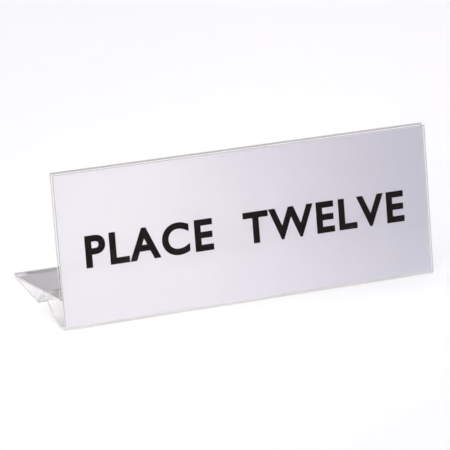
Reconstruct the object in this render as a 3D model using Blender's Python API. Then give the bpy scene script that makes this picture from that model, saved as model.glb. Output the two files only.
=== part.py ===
"""Place name holder: two bent clear sheets, bonded into a leaning card pocket on a hollow foot, and a card.

Metres, +Z up, with the window facing -Y. The origin is on the table, under the middle of the holder.
"""

from math import asin, atan2, ceil, copysign, cos, pi, radians, sin, sqrt, tan

import bmesh
import bpy
from mathutils import Vector

# Driving dimensions, in metres and radians
HOLDER_WIDTH = 0.150  # along X
HOLDER_DEPTH = 0.0590  # front of the bottom fold to the rear edge of the foot
PANEL_HEIGHT = 0.058  # along the leaning window, from the table to its top edge
BACK_RISE = 0.0006  # back wall above the window's top edge
PANEL_LEAN = radians(11.3)  # window, card and back wall, off vertical
SHEET = 0.0007  # thickness of both bent sheets
CARD_SLOT = 0.0018  # between the window and the back wall
LIP_HEIGHT = 0.0008  # flat lip of the bottom fold, up to where the window flexes
FOOT_JOIN = 0.0116  # up the back wall to the top of the foot plate
JOIN_RADIUS = 0.0006  # inside the bend from back wall to foot plate
FLANGE_LENGTH = 0.0030  # flat rear end of the foot plate
FLANGE_RADIUS = 0.0060  # inside the bend from foot plate to flange
RIDGE_SETBACK = 0.0225  # front of the holder to the ridge under the foot plate
RIDGE_RADIUS = 0.0005  # inside the ridge
WEB_SETBACK = 0.0050  # front of the holder to where the web curves up off the table
WALL_RADIUS = 0.0130  # inside the curved wall from ridge to heel
RIDGE_STRAIGHT = 0.0004  # straight run between two bends that meet
HEEL_SETBACK = 0.0073  # ridge to the front of the heel
HEEL_RADIUS = 0.0004  # inside the heel
BOND_THICKNESS = 0.00015
BOND_MARGIN = 0.0005  # from each long edge of the flange to its bond strip
RIDGE_BOND_WIDTH = 0.0022
BOND_INSET = 0.0040  # from each end of the holder to the ends of the bond strips
CARD_THICKNESS = 0.00035
CARD_SIDE_MARGIN = 0.0005  # from each end of the holder to the card
CARD_TOP_MARGIN = 0.0007  # from the window's top edge down to the card

# Clearances
BOND_GAP = 0.00005  # each side of a bond strip
CARD_CLEARANCE = 0.0003  # behind the window
CARD_SEAT_GAP = 0.0001  # above the bottom fold
FLEX_GAP = 0.0003  # between the window and the bottom fold, where the sheet flexes

# Finish of the geometry
BEND_STEP = radians(7.5)  # largest turn between two points of a bend
EDGE_BREAK = 0.0001  # chamfer on the cut edges of the sheets
SHARP_ANGLE = radians(50)

# Section of the holder: points are (back from the front, up from the table)
HALF_SHEET = SHEET / 2
UP_PANEL = Vector((sin(PANEL_LEAN), cos(PANEL_LEAN)))
BEHIND_PANEL = Vector((cos(PANEL_LEAN), -sin(PANEL_LEAN)))
FOLD_RADIUS = (CARD_SLOT + SHEET) / 2  # middle of the sheet round the fold, which is as wide as the slot
FOLD_REACH = FOLD_RADIUS + HALF_SHEET
FOLD_CENTRE = Vector((FOLD_REACH, FOLD_REACH))
BOND_SPACE = BOND_THICKNESS + 2 * BOND_GAP


def left_of(angle):
    """Unit vector to the left of a heading in the section."""
    return Vector((-sin(angle), cos(angle)))


def in_panel(height, behind):
    """Section point by its height along the panel and its distance behind the middle of the slot."""
    return FOLD_CENTRE + (height - FOLD_REACH) * UP_PANEL + behind * BEHIND_PANEL


def run_heading(start, end):
    """Heading of the straight run that leaves one bend and enters the next, tangent to both.

    A bend is (centre, radius), with a positive radius for a left turn and 0 for the end of a sheet.
    """
    reach = end[0] - start[0]
    return atan2(reach.y, reach.x) - asin((end[1] - start[1]) / reach.length)


def rising_bend(setback, end):
    """Left-hand bend that leaves the table at a setback and meets another bend after a straight run."""
    start = Vector((setback, HALF_SHEET))
    reach = end[0] - start
    radius = (reach.length_squared - end[1] ** 2 - RIDGE_STRAIGHT**2) / (2 * (reach.y - end[1]))
    return start + Vector((0, radius)), radius


def bend_between(start, end, radius):
    """Bend of a given radius that meets two others, with a straight run on each side of it."""
    reach = end[0] - start[0]
    from_start = (radius - start[1]) ** 2 + RIDGE_STRAIGHT**2
    to_end = (end[1] - radius) ** 2 + RIDGE_STRAIGHT**2
    along = (from_start - to_end + reach.length_squared) / (2 * reach.length)
    aside = copysign(sqrt(from_start - along**2), radius)
    heading = atan2(reach.y, reach.x)
    return start[0] + along * reach.normalized() + aside * left_of(heading), radius


def sheet_outline(bends):
    """Closed outline of a sheet whose middle runs through the bends, in order."""
    headings = [run_heading(start, end) for start, end in zip(bends, bends[1:])]
    middle = [(bends[0][0], headings[0])]
    for (centre, radius), before, after in zip(bends[1:-1], headings, headings[1:]):
        turn = (after - before) % (2 * pi)
        if radius < 0:
            turn -= 2 * pi
        steps = ceil(abs(turn) / BEND_STEP)
        for step in range(steps + 1):
            angle = before + turn * step / steps
            middle.append((centre - radius * left_of(angle), angle))
    middle.append((bends[-1][0], headings[-1]))
    upper = [point + HALF_SHEET * left_of(angle) for point, angle in middle]
    lower = [point - HALF_SHEET * left_of(angle) for point, angle in middle]
    return upper + lower[::-1]


# Rear sheet: down the back wall, round the join, along the foot plate, round to the flange
JOIN_TURN = JOIN_RADIUS + HALF_SHEET
FLANGE_TURN = FLANGE_RADIUS + HALF_SHEET
FLANGE_LEVEL = SHEET + BOND_SPACE + HALF_SHEET
JOIN_BEND = (in_panel(FOOT_JOIN + JOIN_RADIUS, FOLD_RADIUS + JOIN_TURN), JOIN_TURN)
FLANGE_BEND = (Vector((HOLDER_DEPTH - FLANGE_LENGTH, FLANGE_LEVEL + FLANGE_TURN)), FLANGE_TURN)
PLATE_HEADING = run_heading(JOIN_BEND, FLANGE_BEND)
ABOVE_PLATE = left_of(PLATE_HEADING)

# Front sheet: round the bottom fold, up the web to the ridge, down the wall to the heel, along the base
RIDGE_TURN = RIDGE_RADIUS + HALF_SHEET
RIDGE_REACH = RIDGE_TURN + HALF_SHEET
HEEL_TURN = HEEL_RADIUS + HALF_SHEET
PLATE_START = JOIN_BEND[0] - JOIN_TURN * ABOVE_PLATE
PLATE_DROP = (RIDGE_SETBACK - PLATE_START.x) * tan(PLATE_HEADING)
PLATE_AT_RIDGE = Vector((RIDGE_SETBACK, PLATE_START.y + PLATE_DROP))
RIDGE_BEND = (PLATE_AT_RIDGE - (HALF_SHEET + BOND_SPACE + RIDGE_REACH) * ABOVE_PLATE, -RIDGE_TURN)
HEEL_REACH = HEEL_TURN + HALF_SHEET
HEEL_BEND = (Vector((RIDGE_SETBACK + HEEL_SETBACK + HEEL_REACH, HEEL_REACH)), HEEL_TURN)
WEB_BEND = rising_bend(WEB_SETBACK, RIDGE_BEND)
WALL_BEND = bend_between(RIDGE_BEND, HEEL_BEND, -(WALL_RADIUS + HALF_SHEET))

# Where the window flexes, and the card's own plane
LIP_TOP = FOLD_REACH + LIP_HEIGHT
FLEX_AXIS = in_panel(LIP_TOP + FLEX_GAP / 2, -FOLD_RADIUS)
CARD_FRONT = -CARD_SLOT / 2 + CARD_CLEARANCE
CARD_SEAT = FOLD_REACH + CARD_SEAT_GAP - sqrt(max(0, (CARD_SLOT / 2) ** 2 - CARD_FRONT**2))
CARD_HEIGHT = PANEL_HEIGHT - CARD_TOP_MARGIN - CARD_SEAT


def clear_scene():
    for thing in list(bpy.data.objects):
        bpy.data.objects.remove(thing, do_unlink=True)


def material(name, colour, roughness, alpha):
    made = bpy.data.materials.new(name)
    made.use_nodes = True
    shader = made.node_tree.nodes["Principled BSDF"]
    shader.inputs["Base Color"].default_value = (*colour, 1)
    shader.inputs["Roughness"].default_value = roughness
    shader.inputs["Metallic"].default_value = 0
    shader.inputs["Alpha"].default_value = alpha
    made.diffuse_color = (*colour, alpha)
    return made


def add_object(name, shape, finish, parent, section=Vector((HOLDER_DEPTH / 2, 0)), tilt=0.0):
    """Puts a bmesh in the scene, with its origin at a point of the section and tilted about X."""
    mesh = bpy.data.meshes.new(name)
    bmesh.ops.recalc_face_normals(shape, faces=shape.faces)
    shape.to_mesh(mesh)
    shape.free()
    mesh.materials.append(finish)
    thing = bpy.data.objects.new(name, mesh)
    thing.location = (0, section.x - HOLDER_DEPTH / 2, section.y)
    thing.rotation_euler = (tilt, 0, 0)
    thing.parent = parent
    bpy.context.scene.collection.objects.link(thing)
    return thing


def slab(width, depth, height, lift=0.0):
    """Block centred on X and Y, with its underside this far above the origin."""
    shape = bmesh.new()
    bmesh.ops.create_cube(shape, size=1)
    bmesh.ops.scale(shape, vec=(width, depth, height), verts=shape.verts)
    bmesh.ops.translate(shape, vec=(0, 0, lift + height / 2), verts=shape.verts)
    return shape


def bent_sheet(bends):
    """The sheet's outline as a face at the left end, carried across the holder's width."""
    shape = bmesh.new()
    left, front = -HOLDER_WIDTH / 2, -HOLDER_DEPTH / 2
    corners = [shape.verts.new((left, front + point.x, point.y)) for point in sheet_outline(bends)]
    end = shape.faces.new(corners)
    carried = bmesh.ops.extrude_face_region(shape, geom=[end])
    moved = [item for item in carried["geom"] if isinstance(item, bmesh.types.BMVert)]
    bmesh.ops.translate(shape, vec=(HOLDER_WIDTH, 0, 0), verts=moved)
    return shape


def finish_sheet(thing):
    """Chamfers the cut edges and leaves the bends smooth."""
    bevel = thing.modifiers.new("edge_break", "BEVEL")
    bevel.width = EDGE_BREAK
    bevel.segments = 1
    bevel.limit_method = "ANGLE"
    bevel.angle_limit = SHARP_ANGLE
    thing.data.shade_smooth()
    thing.data.set_sharp_from_angle(angle=SHARP_ANGLE / 2)


def make_back_panel(finish, parent):
    top = (in_panel(PANEL_HEIGHT + BACK_RISE, FOLD_RADIUS), 0)
    rear_edge = (Vector((HOLDER_DEPTH, FLANGE_LEVEL)), 0)
    shape = bent_sheet([top, JOIN_BEND, FLANGE_BEND, rear_edge])
    finish_sheet(add_object("back_panel", shape, finish, parent))


def make_base_fold(finish, parent):
    lip = (in_panel(LIP_TOP, -FOLD_RADIUS), 0)
    fold = (FOLD_CENTRE, FOLD_RADIUS)
    rear_edge = (Vector((HOLDER_DEPTH, HALF_SHEET)), 0)
    shape = bent_sheet([lip, fold, WEB_BEND, RIDGE_BEND, WALL_BEND, HEEL_BEND, rear_edge])
    finish_sheet(add_object("base_fold", shape, finish, parent))


def make_front_window(finish, parent):
    height = PANEL_HEIGHT - LIP_TOP - FLEX_GAP
    shape = slab(HOLDER_WIDTH, SHEET, height, FLEX_GAP / 2)
    finish_sheet(add_object("front_window", shape, finish, parent, FLEX_AXIS, -PANEL_LEAN))


def make_bond_strips(finish, parent):
    length = HOLDER_WIDTH - 2 * BOND_INSET
    rear = Vector((HOLDER_DEPTH - FLANGE_LENGTH / 2, SHEET + BOND_GAP))
    rear_shape = slab(length, FLANGE_LENGTH - 2 * BOND_MARGIN, BOND_THICKNESS)
    add_object("rear_bond_strip", rear_shape, finish, parent, rear)
    crest = RIDGE_BEND[0] + (RIDGE_REACH + BOND_GAP) * ABOVE_PLATE
    ridge_shape = slab(length, RIDGE_BOND_WIDTH, BOND_THICKNESS)
    add_object("ridge_bond_strip", ridge_shape, finish, parent, crest, PLATE_HEADING)


def make_name_card(finish, parent):
    seat = in_panel(CARD_SEAT, CARD_FRONT + CARD_THICKNESS / 2)
    shape = slab(HOLDER_WIDTH - 2 * CARD_SIDE_MARGIN, CARD_THICKNESS, CARD_HEIGHT)
    add_object("name_card", shape, finish, parent, seat, -PANEL_LEAN)


def main():
    clear_scene()
    holder = bpy.data.objects.new("holder", None)
    bpy.context.scene.collection.objects.link(holder)
    clear = material("clear_sheet", (0.90, 0.90, 0.92), 0.08, 0.35)
    bond = material("bond_film", (0.62, 0.63, 0.62), 0.35, 0.6)
    card = material("card_white", (0.86, 0.85, 0.89), 0.6, 1.0)
    make_back_panel(clear, holder)
    make_base_fold(clear, holder)
    make_front_window(clear, holder)
    make_bond_strips(bond, holder)
    make_name_card(card, holder)


main()
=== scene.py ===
from math import ceil, pi, radians

import bmesh
import bpy
import numpy as np
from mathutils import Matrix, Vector


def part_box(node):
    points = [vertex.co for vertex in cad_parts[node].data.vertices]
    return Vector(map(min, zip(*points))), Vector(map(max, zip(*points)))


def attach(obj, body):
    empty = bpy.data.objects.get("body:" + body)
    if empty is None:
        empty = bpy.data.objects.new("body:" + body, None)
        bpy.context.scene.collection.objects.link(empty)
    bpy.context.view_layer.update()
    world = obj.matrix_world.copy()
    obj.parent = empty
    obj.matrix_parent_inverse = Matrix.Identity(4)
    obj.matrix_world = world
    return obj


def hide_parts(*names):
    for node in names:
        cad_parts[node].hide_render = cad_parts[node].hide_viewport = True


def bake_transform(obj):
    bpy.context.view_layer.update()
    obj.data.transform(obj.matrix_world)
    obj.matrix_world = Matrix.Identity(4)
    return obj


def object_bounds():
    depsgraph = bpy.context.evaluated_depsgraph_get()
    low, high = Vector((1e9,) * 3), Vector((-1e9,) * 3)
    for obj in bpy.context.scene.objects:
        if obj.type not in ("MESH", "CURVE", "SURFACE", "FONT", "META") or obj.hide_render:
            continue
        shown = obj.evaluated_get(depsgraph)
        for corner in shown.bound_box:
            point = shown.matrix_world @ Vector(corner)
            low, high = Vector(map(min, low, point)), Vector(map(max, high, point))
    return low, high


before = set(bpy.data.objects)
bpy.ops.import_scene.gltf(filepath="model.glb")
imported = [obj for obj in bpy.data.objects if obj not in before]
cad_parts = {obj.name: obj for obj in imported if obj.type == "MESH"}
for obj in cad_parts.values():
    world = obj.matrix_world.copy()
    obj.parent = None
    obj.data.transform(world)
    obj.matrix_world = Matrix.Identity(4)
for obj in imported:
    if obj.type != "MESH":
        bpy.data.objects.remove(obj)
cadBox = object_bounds()
print("frame loaded:", ", ".join(sorted(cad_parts)))


def addObject(name, data):
    made = bpy.data.objects.new(name, data)
    bpy.context.scene.collection.objects.link(made)
    return made


def turnTowards(thing, direction):  # a camera or a lamp, which looks along its own -Z
    thing.rotation_mode = "QUATERNION"
    thing.rotation_quaternion = direction.to_track_quat("-Z", "Y")


# Camera: looks at one point from the left and above, as the photograph does
camera = {
    "aim": (-0.0049, -0.0129, 0.0259),
    "azimuth": radians(-22.55),  # negative is to the left of the window
    "elevation": radians(20.71),
    "distance": 1.052,
    "lens": 223.9,  # millimetres
    "farthest": 20.0,  # that it sees
}


def placeCamera(settings):
    azimuth, elevation = settings["azimuth"], settings["elevation"]
    level = np.cos(elevation)
    back = Vector((np.sin(azimuth) * level, -np.cos(azimuth) * level, np.sin(elevation)))
    data = bpy.data.cameras.new("view")
    data.lens = settings["lens"]
    data.clip_end = settings["farthest"]
    eye = addObject("view", data)
    eye.location = Vector(settings["aim"]) + settings["distance"] * back
    turnTowards(eye, -back)
    bpy.context.scene.camera = eye


placeCamera(camera)
print("camera placed")


# Shader maths: a Paint is one node output, and sums and products of Paints add Math nodes
class Paint:
    def __init__(self, tree, socket=None):
        self.tree = tree
        self.socket = socket

    def node(self, kind, settings=None, inputs=None, output=0):
        made = self.tree.nodes.new("ShaderNode" + kind)
        for name, value in (settings or {}).items():
            setattr(made, name, value)
        for name, value in (inputs or {}).items():
            if isinstance(value, Paint):
                self.tree.links.new(value.socket, made.inputs[name])
            else:
                made.inputs[name].default_value = value
        return Paint(self.tree, made.outputs[output]) if made.outputs else None

    def maths(self, operation, first, second):
        return self.node("Math", {"operation": operation}, {0: first, 1: second})

    def __add__(self, other):
        return self.maths("ADD", self, other)

    def __radd__(self, other):
        return self.maths("ADD", other, self)

    def __sub__(self, other):
        return self.maths("SUBTRACT", self, other)

    def __rsub__(self, other):
        return self.maths("SUBTRACT", other, self)

    def __mul__(self, other):
        return self.maths("MULTIPLY", self, other)

    def __rmul__(self, other):
        return self.maths("MULTIPLY", other, self)

    def blend(self, low, high):  # a colour between low and high, by this value
        sockets = {"Factor": self, 6: low, 7: high}  # a Mix node's colours are its sockets 6, 7 and 2
        return self.node("Mix", {"data_type": "RGBA"}, sockets, output=2)

    def between(self, low, high):  # this value spread from 0 to 1 between two levels
        sockets = {"Value": self, "From Min": low, "From Max": high}
        return self.node("MapRange", {"interpolation_type": "SMOOTHSTEP"}, sockets)


def newFinish(name):
    finish = bpy.data.materials.new(name)
    finish.use_nodes = True
    finish.node_tree.nodes.clear()
    paint = Paint(finish.node_tree)
    return finish, paint, paint.node("TexCoord", output="Object")


def markOf(paint, name):  # a value that the mesh holds at each of its points
    return paint.node("Attribute", {"attribute_name": name}, output="Fac")


def noise(paint, place, scale, detail, roughness=0.5):
    if isinstance(scale, tuple):  # a scale for each axis, so that the pattern runs one way
        place = paint.node("Mapping", {"vector_type": "POINT"}, {"Vector": place, "Scale": scale})
        scale = 1.0
    sockets = {"Vector": place, "Scale": scale, "Detail": detail, "Roughness": roughness}
    return paint.node("TexNoise", {}, sockets)


def showSolid(paint, sockets):
    body = paint.node("BsdfPrincipled", {}, sockets)
    paint.node("OutputMaterial", {}, {"Surface": body})


def showLitThrough(paint, sockets, shade):  # lamps shine through, dimmed by the shade at each face
    body = paint.node("BsdfPrincipled", {}, sockets)
    lamp = paint.node("LightPath", output="Is Shadow Ray")
    through = paint.node("BsdfTransparent", {}, {"Color": shade})
    shown = paint.node("MixShader", {}, {0: lamp, 1: body, 2: through})
    paint.node("OutputMaterial", {}, {"Surface": shown})


# Section of the holder: points are (back from its front, up from the table), in metres
section = {
    "lean": radians(11.3),  # window, card and back wall, off vertical
    "panelHeight": 0.058,  # along the window, from the table
    "backRise": 0.0006,  # back wall above the window
    "sheet": 0.0007,
    "slot": 0.0018,  # between window and back wall
    "footJoin": 0.0116,  # up the back wall to the top of the foot plate
    "joinRadius": 0.0006,
    "flangeLength": 0.0030,
    "flangeRadius": 0.0060,
    "bondSpace": 0.00025,  # between the two sheets where they are bonded
    "ridgeSetback": 0.0225,
    "ridgeRadius": 0.0005,
    "webSetback": 0.0050,  # where the web curves up off the table
    "wallRadius": 0.0130,
    "straight": 0.0004,  # between two bends that meet
    "heelSetback": 0.0073,
    "heelRadius": 0.0004,
    "bendStep": radians(4),
    "runStep": 0.002,  # between points of a straight run
    "closest": 0.00002,  # points along the section nearer than this to the one before are dropped
    "bendFade": 0.0005,  # haze of a tight bend fades out over about this length
    "fadeSteps": 5,  # samples in that length
    "fadeWindow": 13,  # samples that are averaged
    "blushHeight": 0.0014,  # of the milky part of the bottom fold, up from the table
    "hollowShadeFade": 0.0030,  # of the hazy tint of the web and wall, partly painted shade, towards the fold and the base
    "hollowShadeRise": (0.0038, 0.0058),  # heights between which the cloud thins towards the ridge
    "hollowShadeCrest": 0.15,  # share of it left there
    "edgeRadius": 0.00014,  # rounded cut edges
    "edgeSteps": 4,
    "support": 0.0002,  # flat kept beside each rounded edge
    "frontShadeBand": 0.0006,  # of painted shade, beside the long cut edges of the front sheet
    "rearShadeBand": 0.0013,  # beside those of the rear sheet
    "sideShadeBand": 0.0005,  # and beside the short ones
    "stations": 31,  # across the width
    "merge": 0.000001,  # points closer than this become one
}
left, right = cadBox[0].x, cadBox[1].x
front, rear = cadBox[0].y, cadBox[1].y
depth = rear - front
halfSheet = section["sheet"] / 2
foldRadius = (section["slot"] + section["sheet"]) / 2
foldReach = foldRadius + halfSheet
foldCentre = np.array([foldReach, foldReach])
upPanel = np.array([np.sin(section["lean"]), np.cos(section["lean"])])
behindPanel = np.array([np.cos(section["lean"]), -np.sin(section["lean"])])


def aheadOf(angle):
    return np.stack([np.cos(angle), np.sin(angle)], -1)


def leftOf(angle):
    return np.stack([-np.sin(angle), np.cos(angle)], -1)


def inPanel(height, behind):  # by height along the panel and distance behind the middle of the slot
    return foldCentre + (height - foldReach) * upPanel + behind * behindPanel


def runHeading(start, end):
    # Of the straight run tangent to two bends, each (centre, radius), with a radius above 0 for a left turn
    reach = end[0] - start[0]
    return np.arctan2(reach[1], reach[0]) - np.arcsin((end[1] - start[1]) / np.hypot(*reach))


def risingBend(setback, end):  # leaves the table at a setback and meets another bend
    start = np.array([setback, halfSheet])
    reach = end[0] - start
    radius = (reach @ reach - end[1] ** 2 - section["straight"] ** 2) / (2 * (reach[1] - end[1]))
    return start + [0, radius], radius


def bendBetween(start, end, radius):  # meets two bends: its centre is where two circles about theirs cross
    reach = end[0] - start[0]
    length = np.hypot(*reach)
    fromStart = (radius - start[1]) ** 2 + section["straight"] ** 2
    toEnd = (end[1] - radius) ** 2 + section["straight"] ** 2
    along = (fromStart - toEnd + length**2) / (2 * length)
    aside = np.copysign(np.sqrt(fromStart - along**2), radius)
    return start[0] + along * reach / length + aside * leftOf(np.arctan2(reach[1], reach[0])), radius


# Rear sheet: down the back wall, round the join, along the foot plate, round to the flange
joinTurn = section["joinRadius"] + halfSheet
flangeTurn = section["flangeRadius"] + halfSheet
flangeLevel = section["sheet"] + section["bondSpace"] + halfSheet
joinBend = (inPanel(section["footJoin"] + section["joinRadius"], foldRadius + joinTurn), joinTurn)
flangeBend = (np.array([depth - section["flangeLength"], flangeLevel + flangeTurn]), flangeTurn)
plateHeading = runHeading(joinBend, flangeBend)
abovePlate = leftOf(plateHeading)
plateStart = joinBend[0] - joinTurn * abovePlate

# Front sheet: down the window, round the fold, up the web, over the ridge, down the wall, along the base
ridgeTurn = section["ridgeRadius"] + halfSheet
ridgeReach = ridgeTurn + halfSheet
heelTurn = section["heelRadius"] + halfSheet
heelReach = heelTurn + halfSheet
plateDrop = (section["ridgeSetback"] - plateStart[0]) * np.tan(plateHeading)
plateAtRidge = np.array([section["ridgeSetback"], plateStart[1] + plateDrop])
ridgeBend = (plateAtRidge - (halfSheet + section["bondSpace"] + ridgeReach) * abovePlate, -ridgeTurn)
heelBend = (np.array([section["ridgeSetback"] + section["heelSetback"] + heelReach, heelReach]), heelTurn)
webBend = risingBend(section["webSetback"], ridgeBend)
wallBend = bendBetween(ridgeBend, heelBend, -(section["wallRadius"] + halfSheet))

frontPath = [
    (inPanel(section["panelHeight"], -foldRadius), 0),
    (foldCentre, foldRadius),
    webBend,
    ridgeBend,
    wallBend,
    heelBend,
    (np.array([depth, halfSheet]), 0),
]
rearPath = [
    (inPanel(section["panelHeight"] + section["backRise"], foldRadius), 0),
    joinBend,
    flangeBend,
    (np.array([depth, flangeLevel]), 0),
]


def middleLine(path):
    # Along a path of bends: each bend is centre - radius * left of the heading, swept from the run before
    # it to the run after it, and runs are straight. Returns its points, their headings and their distances
    # along it.
    headings = [runHeading(start, end) for start, end in zip(path, path[1:])]
    points, angles = [path[0][0][None]], [np.array(headings[:1])]
    for (centre, radius), before, after in zip(path[1:-1], headings, headings[1:]):
        turn = (after - before) % (2 * pi) - (2 * pi if radius < 0 else 0)
        sweep = before + turn * np.linspace(0, 1, ceil(abs(turn) / section["bendStep"]) + 1)
        points.append(centre - radius * leftOf(sweep))
        angles.append(sweep)
    points = np.concatenate(points + [path[-1][0][None]])
    angles = np.unwrap(np.concatenate(angles + [np.array(headings[-1:])]))
    length = np.concatenate([[0], np.cumsum(np.hypot(*np.diff(points, axis=0).T))])
    return points, angles, length


def sheetSides(path, thickness, edge, shadeBand):
    # The middle line moved half the thickness to each side, with a quarter circle of the edge radius at each
    # corner of the sheet's two ends. Returns the ring round both sides, its outward normals, the turn of
    # each normal at a rounded corner, the distance of each point from the nearer end, and how tightly the
    # sheet is bent there, as thickness over radius.
    points, angles, length = middleLine(path)
    total = length[-1]
    beside = edge + section["support"]
    inner = np.concatenate([length, np.arange(section["runStep"], total, section["runStep"])])
    inner = np.sort(inner[(inner > shadeBand + beside) & (inner < total - shadeBand - beside)])
    inner = inner[np.append(True, np.diff(inner) > section["closest"])]
    corner = np.linspace(0, pi / 2, section["edgeSteps"] + 1)
    first = np.concatenate([edge * (1 - np.sin(corner[::-1])), [beside, shadeBand]])
    along = np.concatenate([first, inner, total - first[::-1]])
    turn = np.concatenate([-corner[::-1], np.zeros(len(along) - 2 * len(corner)), corner])
    middle = np.stack([np.interp(along, length, points[:, axis]) for axis in (0, 1)], -1)
    heading = np.interp(along, length, angles)
    out = (thickness / 2 - edge * (1 - np.cos(turn)))[:, None] * leftOf(heading)
    across = np.cos(turn)[:, None] * leftOf(heading)
    ahead = np.sin(turn)[:, None] * aheadOf(heading)
    reach = np.minimum(along, total - along)
    ring = np.concatenate([middle + out, (middle - out)[::-1]])
    normal = np.concatenate([ahead + across, (ahead - across)[::-1]])
    fine = np.arange(0, total, section["bendFade"] / section["fadeSteps"])
    curl = np.abs(np.gradient(np.interp(fine, length, angles), fine)) * thickness
    weights = np.hanning(section["fadeWindow"])
    curl = np.interp(along, fine, np.convolve(curl, weights / weights.sum(), "same"))
    bothSides = [np.append(value, value[::-1]) for value in (turn, reach, curl)]
    return ring, normal, *bothSides


def intoRings(across, flat):  # section points at each station across the width, as points in space
    wide = np.broadcast_to(across[:, None], flat.shape[:2])
    return np.stack([wide, front + flat[..., 0], flat[..., 1]], -1)


def bentSheet(name, path, thickness, span, edge, shadeBand, finishes, hollowShaded=False):
    # The ring of a sheet carried across the width: at each end of the width the rings draw in along their
    # normals by a quarter circle. Cut faces, which are the rounded edges and the ends, take the second
    # finish, and faces on the bottom fold and the ridge's crest the third. A cloud, which is haze with
    # painted shade for the cells under the foot, grows from the fold and the heel over its fade, thins with
    # height and leaves out the window, which passes higher. The margin marks a band of painted shade beside
    # the cut edges.
    ring, normal, turn, reach, curl = sheetSides(path, thickness, edge, shadeBand)
    corner = np.linspace(pi / 2, 0, section["edgeSteps"] + 1)
    sideShadeBand = section["sideShadeBand"]
    first = np.concatenate([edge * (1 - np.sin(corner)), [edge + section["support"], sideShadeBand]])
    plain = np.linspace(span[0] + sideShadeBand, span[1] - sideShadeBand, section["stations"])[1:-1]
    across = np.concatenate([span[0] + first, plain, span[1] - first[::-1]])
    drawn = edge * (1 - np.cos(corner))
    inset = np.concatenate([drawn, np.zeros(len(across) - 2 * len(drawn)), drawn[::-1]])
    rings = intoRings(across, ring - inset[:, None, None] * normal)
    side = np.minimum(across - span[0], span[1] - across)
    # margin: 0 at a cut edge, 1 past the band of painted shade
    margin = np.minimum(side[:, None] / sideShadeBand, reach / shadeBand)
    cutRing = (turn != 0) | (np.roll(turn, -1) != 0)
    cutStation = (inset[1:] > 0) | (inset[:-1] > 0)
    height = ring[:, 1]
    nearFold = np.hypot(*(ring - foldCentre).T) < foldReach + section["edgeRadius"]
    nearRidge = np.hypot(*(ring - ridgeBend[0]).T) < ridgeReach + section["edgeRadius"]
    folded = nearFold & (height < section["blushHeight"]) | nearRidge & (height > ridgeBend[0][1])
    kind = np.where(cutStation[:, None] | cutRing, 1, np.where(folded & np.roll(folded, -1), 2, 0))
    kind = np.minimum(kind, len(finishes) - 1)
    # cloud: haze, and painted shade for the cells under the foot
    fromEnds = np.minimum(ring[:, 0] - foldCentre[0], heelBend[0][0] - ring[:, 0]) / section["hollowShadeFade"]
    thinned = np.interp(height, section["hollowShadeRise"], (1, section["hollowShadeCrest"]))
    below = height < ridgeBend[0][1] + 2 * ridgeReach
    cloud = np.clip(fromEnds, 0, 1) * thinned * (hollowShaded & below)
    marks = {"edgeMargin": np.minimum(margin, 1)}
    for mark, values in (("bend", curl), ("cloud", cloud)):
        marks[mark] = np.broadcast_to(values, margin.shape)
    return skinRings(name, rings, finishes, kind, marks)


def closeMesh(mesh):  # merges the points of a pole or seam, evens out slivers and turns faces outwards
    joined = bmesh.new()
    joined.from_mesh(mesh)
    bmesh.ops.remove_doubles(joined, verts=joined.verts, dist=section["merge"])
    bmesh.ops.beautify_fill(joined, faces=joined.faces, edges=joined.edges)
    bmesh.ops.recalc_face_normals(joined, faces=joined.faces)
    joined.to_mesh(mesh)
    joined.free()


def skinRings(name, rings, finishes, kind=None, marks=None):
    # A closed skin over rings of points: quads from ring to ring, and at each end quads across the ring, from
    # a point of its upper side to the one below it.
    count, around = rings.shape[:2]
    j, i = np.meshgrid(np.arange(count - 1), np.arange(around), indexing="ij")
    after = (i + 1) % around
    skin = np.stack([j * around + i, (j + 1) * around + i, (j + 1) * around + after, j * around + after], -1)
    upper = np.arange(around // 2 - 1)
    leftEnd = np.stack([upper, upper + 1, around - 2 - upper, around - 1 - upper], -1)
    rightEnd = leftEnd[:, ::-1] + (count - 1) * around
    faces = np.concatenate([skin.reshape(-1, 4), leftEnd, rightEnd])
    mesh = bpy.data.meshes.new(name)
    mesh.from_pydata(rings.reshape(-1, 3).tolist(), [], faces.tolist())
    mesh.shade_smooth()
    for finish in finishes:
        mesh.materials.append(finish)
    if kind is not None:
        ends = np.full(2 * len(upper), kind.ravel()[0])
        mesh.polygons.foreach_set("material_index", np.append(kind.ravel(), ends).astype(np.int32))
    for mark, values in (marks or {}).items():
        spread = mesh.attributes.new(mark, "FLOAT", "POINT")
        spread.data.foreach_set("value", values.ravel().astype(np.float32))
    closeMesh(mesh)
    print(f"{name}: {len(mesh.vertices)} points, {len(mesh.polygons)} faces")
    return addObject(name, mesh)


# Clear sheet: polished plastic that lets lamps through, with faint waves, smudges and scratches, painted
# shade in a grey band beside its cut edges, and a cloud low in the web and wall that is haze with painted
# shade for the cells under the foot
clearSheet = {
    "tint": (0.97, 0.967, 0.97, 1),
    # painted shade: grey beside the cut edges
    "edgeShadeTint": (0.58, 0.575, 0.57, 1),
    "edgeShadeRange": (0.55, 1.0),  # of the margin beside an edge, where the painted shade gives way
    # painted shade for the cells under the foot, over the cloud's haze
    "hollowShadeTint": (0.885, 0.872, 0.86, 1),
    "ior": 1.49,
    "through": 1.0,  # share of the light that passes
    "shade": (0.92, 0.915, 0.92, 1),  # what its shadow lets through
    "roughness": 0.015,
    "smudgeRoughness": 0.03,  # added in smudged patches
    "smudgeScale": 38.0,
    "smudgeDetail": 4.0,
    "smudgeRange": (0.5, 0.75),
    "scratchRoughness": 0.04,  # added along scratches
    "scratchScale": (900.0, 90.0, 90.0),
    "scratchDetail": 2.0,
    "scratchRange": (0.62, 0.70),
    "scratchHeight": 0.000002,
    "scratchBump": 0.3,
    "bendRoughness": 0.4,  # added where the sheet is bent tightly
    "bendRange": (0.1, 0.5),  # of thickness over radius
    "cloudRoughness": 0.15,  # added where it is clouded
    "waveScale": 45.0,
    "waveDetail": 1.0,
    "waveHeight": 0.00004,
    "waveBump": 1.0,
}


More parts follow.
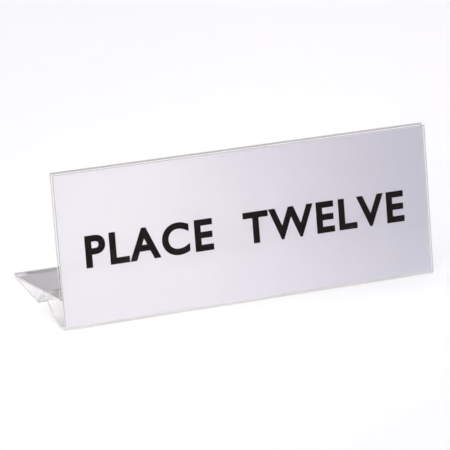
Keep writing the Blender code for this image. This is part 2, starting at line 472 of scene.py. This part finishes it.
def clearFinish(settings):
    finish, paint, place = newFinish("clear_sheet_polished")
    # painted shade: the sheet turns grey towards its cut edges
    edgeShade = 1 - markOf(paint, "edgeMargin").between(*settings["edgeShadeRange"])
    bent = markOf(paint, "bend").between(*settings["bendRange"])
    cloud = markOf(paint, "cloud")
    smudge = noise(paint, place, settings["smudgeScale"], settings["smudgeDetail"])
    smudge = smudge.between(*settings["smudgeRange"])
    scratch = noise(paint, place, settings["scratchScale"], settings["scratchDetail"])
    scratch = scratch.between(*settings["scratchRange"])
    worn = settings["smudgeRoughness"] * smudge + settings["scratchRoughness"] * scratch
    bentOrClouded = settings["bendRoughness"] * bent + settings["cloudRoughness"] * cloud
    wave = noise(paint, place, settings["waveScale"], settings["waveDetail"])
    ripple = {"Strength": settings["waveBump"], "Distance": settings["waveHeight"], "Height": wave}
    score = {"Strength": settings["scratchBump"], "Distance": settings["scratchHeight"], "Height": scratch}
    score["Normal"] = paint.node("Bump", {}, ripple)
    # painted shade: the tint greys where the cloud lies
    tint = cloud.blend(settings["tint"], settings["hollowShadeTint"])
    sockets = {
        "Base Color": edgeShade.blend(tint, settings["edgeShadeTint"]),
        "Roughness": settings["roughness"] + worn + bentOrClouded,
        "IOR": settings["ior"],
        "Transmission Weight": settings["through"],
        "Normal": paint.node("Bump", {}, score),
    }
    showLitThrough(paint, sockets, settings["shade"])
    return finish


# Cut edges of the sheets: frosted by the shear, with fine marks across the thickness
cutEdge = {
    "pale": (0.95, 0.93, 0.935, 1),
    "dull": (0.86, 0.84, 0.845, 1),
    "markScale": (5000.0, 5000.0, 900.0),
    "markDetail": 2.0,
    "markRange": (0.35, 0.7),  # from dull to pale
    "markHeight": 0.00002,
    "markBump": 0.4,
    "roughness": 0.45,
    "markRoughness": 0.2,  # added along the marks
    "through": 0.15,
    "shade": (0.90, 0.895, 0.90, 1),
}


def cutFinish(settings):
    finish, paint, place = newFinish("clear_sheet_cut_edge")
    mark = noise(paint, place, settings["markScale"], settings["markDetail"])
    relief = {"Strength": settings["markBump"], "Distance": settings["markHeight"], "Height": mark}
    sockets = {
        "Base Color": mark.between(*settings["markRange"]).blend(settings["dull"], settings["pale"]),
        "Roughness": settings["roughness"] + settings["markRoughness"] * mark,
        "IOR": clearSheet["ior"],
        "Transmission Weight": settings["through"],
        "Normal": paint.node("Bump", {}, relief),
    }
    showLitThrough(paint, sockets, settings["shade"])
    return finish


# Bottom fold and ridge crest: blushed where the sheet was heated and bent tightly
foldBlush = {
    "milky": (0.96, 0.955, 0.96, 1),
    "thin": (0.90, 0.895, 0.90, 1),
    "streakScale": (40.0, 1800.0, 1800.0),
    "streakDetail": 3.0,
    "streakRange": (0.35, 0.65),  # from thin to milky
    "roughness": 0.35,
    "streakRoughness": 0.2,  # added along the streaks
    "through": 0.25,
    "shade": (0.90, 0.895, 0.90, 1),
}


def blushFinish(settings):
    finish, paint, place = newFinish("clear_sheet_fold_blush")
    streak = noise(paint, place, settings["streakScale"], settings["streakDetail"])
    sockets = {
        "Base Color": streak.between(*settings["streakRange"]).blend(settings["thin"], settings["milky"]),
        "Roughness": settings["roughness"] + settings["streakRoughness"] * streak,
        "IOR": clearSheet["ior"],
        "Transmission Weight": settings["through"],
    }
    showLitThrough(paint, sockets, settings["shade"])
    return finish


sheetFinishes = [clearFinish(clearSheet), cutFinish(cutEdge), blushFinish(foldBlush)]
sheetSize = (section["sheet"], (left, right), section["edgeRadius"])
frontSize = (*sheetSize, section["frontShadeBand"])
rearSize = (*sheetSize, section["rearShadeBand"])
frontSheet = bentSheet("clear_front_sheet", frontPath, *frontSize, sheetFinishes, hollowShaded=True)
rearSheet = bentSheet("clear_rear_sheet", rearPath, *rearSize, sheetFinishes[:2])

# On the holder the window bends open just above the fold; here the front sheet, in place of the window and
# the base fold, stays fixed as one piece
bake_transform(frontSheet)
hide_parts("front_window", "base_fold")
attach(rearSheet, "stand")
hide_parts("back_panel")
print("clear sheets made")


# Bond lines: thin films of set adhesive, with edges that wander
bondLine = {
    "rear": {"width": 0.0020, "inset": 0.0040, "alpha": 0.92, "seed": 3},
    "ridge": {"width": 0.0022, "inset": 0.0025, "alpha": 0.45, "seed": 8},
    "thickness": 0.00015,
    "dome": 0.8,  # share of the thickness lost at the sides
    "domePower": 4,
    "columns": 9,  # points across
    "stations": 181,  # along the width
    "gap": 0.00005,  # above the sheet that it lies on
    "fade": 0.0025,  # from nothing to full, at each end
    "wander": 0.00018,
    "waves": (130.0, 310.0, 560.0, 900.0, 1500.0),  # radians per metre
    "colour": (0.24, 0.25, 0.24, 1),
    "streak": (0.44, 0.45, 0.44, 1),
    "streakScale": (60.0, 700.0, 700.0),
    "streakDetail": 3.0,
    "streakRange": (0.35, 0.7),
    "streakThin": 0.2,  # taken off the alpha along streaks
    "bubbleScale": 1400.0,
    "bubbleDetail": 2.0,
    "bubbleRange": (0.66, 0.72),
    "bubbleThin": 0.5,  # taken off the alpha in bubbles
    "ior": 1.47,
    "roughness": 0.25,
    "streakRoughness": 0.3,  # added along streaks
}


def bondStrip(name, foot, heading, strip, settings, film):
    # Flat lens: half thickness * (1 - dome * s^power) for s from -1 to 1 across it, and each side's half
    # width falls short by up to twice the wander, by a mean of sines along the width.
    along = np.linspace(left + strip["inset"], right - strip["inset"], settings["stations"])
    phase = np.random.default_rng(strip["seed"]).uniform(0, 2 * pi, (2, len(settings["waves"])))
    sway = np.sin(along[:, None, None] * np.array(settings["waves"]) + phase).mean(-1)
    half = strip["width"] / 2 - settings["wander"] * (1 - sway)
    halfThickness = settings["thickness"] / 2
    s = np.linspace(-1, 1, settings["columns"])
    aside = (np.where(s < 0, half[:, :1], half[:, 1:]) * s)[..., None] * aheadOf(heading)
    dome = 1 - settings["dome"] * s ** settings["domePower"]
    swell = (halfThickness * dome)[:, None] * leftOf(heading)
    middle = foot + (settings["gap"] + halfThickness) * leftOf(heading)
    flat = middle + np.concatenate([aside + swell, (aside - swell)[:, ::-1]], 1)
    fromEnd = np.minimum(along - along[0], along[-1] - along)
    spread = strip["alpha"] * np.minimum(fromEnd / settings["fade"], 1)
    marks = {"spread": np.broadcast_to(spread[:, None], flat.shape[:2])}
    return skinRings(name, intoRings(along, flat), [film], marks=marks)


def bondFinish(settings):
    finish, paint, place = newFinish("bond_film_set")
    streak = noise(paint, place, settings["streakScale"], settings["streakDetail"])
    streak = streak.between(*settings["streakRange"])
    bubble = noise(paint, place, settings["bubbleScale"], settings["bubbleDetail"])
    bubble = bubble.between(*settings["bubbleRange"])
    dense = 1 - settings["streakThin"] * streak - settings["bubbleThin"] * bubble
    sockets = {
        "Base Color": streak.blend(settings["colour"], settings["streak"]),
        "Roughness": settings["roughness"] + settings["streakRoughness"] * streak,
        "Alpha": dense * markOf(paint, "spread"),
        "IOR": settings["ior"],
    }
    showSolid(paint, sockets)
    return finish


bondFilm = bondFinish(bondLine)
rearMiddle = np.array([depth - section["flangeLength"] / 2, section["sheet"]])
ridgeCrest = ridgeBend[0] + ridgeReach * abovePlate
rearBond = bondStrip("rear_bond_line", rearMiddle, 0.0, bondLine["rear"], bondLine, bondFilm)
ridgeBond = bondStrip("ridge_bond_line", ridgeCrest, plateHeading, bondLine["ridge"], bondLine, bondFilm)
for strip, node in ((rearBond, "rear_bond_strip"), (ridgeBond, "ridge_bond_strip")):
    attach(strip, "stand")
    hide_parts(node)
print("bond lines made")


# Card: cut paper board, standing on the fold between the window and the back wall
nameCard = {
    "thickness": 0.00035,
    "clearance": 0.0003,  # behind the window
    "seat": 0.00103,  # its lower edge, up the panel from the table
    "topMargin": 0.0007,  # below the window's top edge
    "edge": 0.00006,
    # the board is white: the blue cast of these two tones is painted, standing in for the lavender shade of
    # the studio
    "white": (0.78, 0.775, 0.905, 1),
    "fibre": (0.737, 0.73, 0.855, 1),
    "fibreScale": (1500.0, 2600.0, 3400.0),
    "fibreDetail": 5.0,
    "fibreGrit": 0.65,  # how much of the finest detail shows
    "fibreHeight": 0.00003,
    "fibreBump": 0.35,
    "fibreRoughness": 0.2,  # added along fibres
    "cloudScale": 26.0,
    "cloudDetail": 2.0,
    "mottleShare": 0.7,  # of fibres in the mottle, and the rest is clouds
    "mottleRange": (0.3, 0.75),
    "roughness": 0.55,
    "specular": 0.35,
}
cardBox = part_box("name_card")


def cardFinish(settings):
    finish, paint, place = newFinish("card_white_board")
    fibre = noise(paint, place, settings["fibreScale"], settings["fibreDetail"], settings["fibreGrit"])
    cloud = noise(paint, place, settings["cloudScale"], settings["cloudDetail"])
    share = settings["mottleShare"]
    mottle = (share * fibre + (1 - share) * cloud).between(*settings["mottleRange"])
    grain = {"Strength": settings["fibreBump"], "Distance": settings["fibreHeight"], "Height": fibre}
    sockets = {
        "Base Color": mottle.blend(settings["fibre"], settings["white"]),
        "Roughness": settings["roughness"] + settings["fibreRoughness"] * fibre,
        "Specular IOR Level": settings["specular"],
        "Normal": paint.node("Bump", {}, grain),
    }
    showSolid(paint, sockets)
    return finish


cardBehind = nameCard["clearance"] - section["slot"] / 2 + nameCard["thickness"] / 2
cardPath = [
    (inPanel(nameCard["seat"], cardBehind), 0),
    (inPanel(section["panelHeight"] - nameCard["topMargin"], cardBehind), 0),
]
cardWidth = (cardBox[0].x, cardBox[1].x)
cardSize = (nameCard["thickness"], cardWidth, nameCard["edge"], section["frontShadeBand"])
card = bentSheet("white_card", cardPath, *cardSize, [cardFinish(nameCard)])
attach(card, "card")
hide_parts("name_card")
print("card made")


# Print: a plain place number, in words and bold capitals, as a thin layer of ink on the card
cardPrint = {
    "words": "PLACE  TWELVE",
    "capHeight": 0.0123,
    "middle": 0.0279,  # up the panel to the middle of the capitals
    "bold": 0.03,  # added to each side of the strokes, for a type size of 1
    "smooth": 8,  # points along each curve of a letter
    "spacing": 1.14,
    "extrude": 0.5,  # to each side while the type is set, before it is thinned to the ink
    "ink": 0.00003,  # thickness, on the card's face
    "colour": (0.002, 0.002, 0.003, 1),
    "worn": (0.008, 0.008, 0.010, 1),
    "wornRange": (0.5, 0.8),
    "grainScale": 2200.0,
    "grainDetail": 4.0,
    "grainGrit": 0.6,
    "roughness": 0.45,
    "grainRoughness": 0.25,  # added by the grain
    "specular": 0.1,
}


def inkFinish(settings):
    finish, paint, place = newFinish("ink_black")
    grain = noise(paint, place, settings["grainScale"], settings["grainDetail"], settings["grainGrit"])
    sockets = {
        "Base Color": grain.between(*settings["wornRange"]).blend(settings["colour"], settings["worn"]),
        "Roughness": settings["roughness"] + settings["grainRoughness"] * grain,
        "Specular IOR Level": settings["specular"],
    }
    showSolid(paint, sockets)
    return finish


def printPiece(name, settings, finish):
    # Type set flat, then laid on the card: across is X, up runs along the panel, thickness out of its face.
    font = bpy.data.curves.new(name, "FONT")
    font.body = settings["words"]
    font.offset = settings["bold"]
    font.space_character = settings["spacing"]
    font.resolution_u = settings["smooth"]
    font.extrude = settings["extrude"]
    setting = addObject(name + "_setting", font)
    mesh = bpy.data.meshes.new_from_object(setting.evaluated_get(bpy.context.evaluated_depsgraph_get()))
    bpy.data.objects.remove(setting)
    flat = np.empty(len(mesh.vertices) * 3)
    mesh.vertices.foreach_get("co", flat)
    flat = flat.reshape(-1, 3)
    low, high = flat.min(0), flat.max(0)
    size, middle = high - low, (low + high) / 2
    scale = settings["capHeight"] / size[1]
    across = (flat[:, 0] - middle[0]) * scale
    up = settings["middle"] + (flat[:, 1:2] - middle[1]) * scale
    proud = settings["ink"] * (flat[:, 2:] - low[2]) / size[2]
    point = inPanel(up, cardBehind - nameCard["thickness"] / 2 - proud)
    placed = np.stack([across, front + point[:, 0], point[:, 1]], -1)
    mesh.vertices.foreach_set("co", placed.ravel())
    mesh.materials.clear()
    mesh.materials.append(finish)
    closeMesh(mesh)
    return addObject(name, mesh)


cardInk = printPiece("card_print", cardPrint, inkFinish(cardPrint))
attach(cardInk, "card")
print("print made")


# Floor and light: a pale floor under one large soft light, and a small warm one close by on the left
studio = {
    "floorSize": 12.0,
    "floorDrop": 0.0001,  # under the holder
    "floorPale": (0.90, 0.90, 0.905, 1),
    "floorSoft": (0.885, 0.885, 0.89, 1),
    "cloudScale": 9.0,
    "cloudDetail": 3.0,
    "roughness": 0.7,
    "cloudRoughness": 0.1,  # added in clouds
    "specular": 0.2,
    "skyline": (0.12, 0.09, 0.09, 1),  # what the window mirrors towards the camera
    "side": (0.263, 0.244, 0.278, 1),
    "zenith": (0.303, 0.282, 0.32, 1),
    "under": (0.93, 0.92, 0.93, 1),  # the floor as surfaces mirror it, faded out towards the skyline
    "rise": (-0.035, 0.0, 0.05, 0.25, 0.70),  # heights of a direction where those tones change
    "sheetsDeep": 24,  # faces of clear sheet that a lamp may shine through
    "lamps": {
        "overhead": {
            "at": (0, 0, 2.0),
            "aim": (0, 0, 0),
            "size": 3.0,
            "spread": radians(180),
            "power": 57.0,
            "colour": (0.985, 0.99, 1),
        },
        "key": {
            "at": (-0.36, -0.42, 0.26),
            "aim": (-0.044, -0.02, 0.035),
            "size": 0.12,
            "spread": radians(24),
            "power": 0.0255,
            "colour": (1, 0.985, 0.76),
        },
    },
}


def floorFinish(settings):
    finish, paint, place = newFinish("floor_pale")
    cloud = noise(paint, place, settings["cloudScale"], settings["cloudDetail"])
    sockets = {
        "Base Color": cloud.blend(settings["floorSoft"], settings["floorPale"]),
        "Roughness": settings["roughness"] + settings["cloudRoughness"] * cloud,
        "Specular IOR Level": settings["specular"],
    }
    showSolid(paint, sockets)
    return finish


def layFloor(settings):
    half, level = settings["floorSize"] / 2, -settings["floorDrop"]
    corners = [(-half, -half, level), (half, -half, level), (half, half, level), (-half, half, level)]
    mesh = bpy.data.meshes.new("floor")
    mesh.from_pydata(corners, [], [(0, 1, 2, 3)])
    mesh.materials.append(floorFinish(settings))
    floor = addObject("floor", mesh)
    floor.visible_glossy = False  # the surround is mirrored in its place, with no sharp skyline


def paintSurround(settings):  # tones that change with the height of a direction, from -1 down to 1 up
    world = bpy.data.worlds.new("studio")
    bpy.context.scene.world = world
    world.use_nodes = True
    world.node_tree.nodes.clear()
    sky = Paint(world.node_tree)
    height = sky.node("SeparateXYZ", {}, {"Vector": sky.node("TexCoord", output="Generated")}, output="Z")
    under, level, skyline, side, zenith = settings["rise"]
    colour = height.between(under, level).blend(settings["under"], settings["skyline"])
    colour = height.between(skyline, side).blend(colour, settings["side"])
    colour = height.between(side, zenith).blend(colour, settings["zenith"])
    sky.node("OutputWorld", {}, {"Surface": sky.node("Background", {}, {"Color": colour})})


def hangLamps(settings):
    for name, lamp in settings["lamps"].items():
        data = bpy.data.lights.new(name, "AREA")
        data.size = lamp["size"]
        data.spread = lamp["spread"]
        data.energy = lamp["power"]
        data.color = lamp["colour"]
        light = addObject(name, data)
        light.location = lamp["at"]
        turnTowards(light, Vector(lamp["aim"]) - light.location)
        light.visible_camera = False


def setTracing(settings):  # plain tones, and enough bounces for every sheet that stands behind another
    bpy.context.scene.view_settings.view_transform = "Standard"
    cycles = bpy.context.scene.cycles
    cycles.max_bounces = settings["sheetsDeep"]
    cycles.transmission_bounces = settings["sheetsDeep"]
    cycles.transparent_max_bounces = settings["sheetsDeep"]


layFloor(studio)
paintSurround(studio)
hangLamps(studio)
setTracing(studio)
print("studio set")
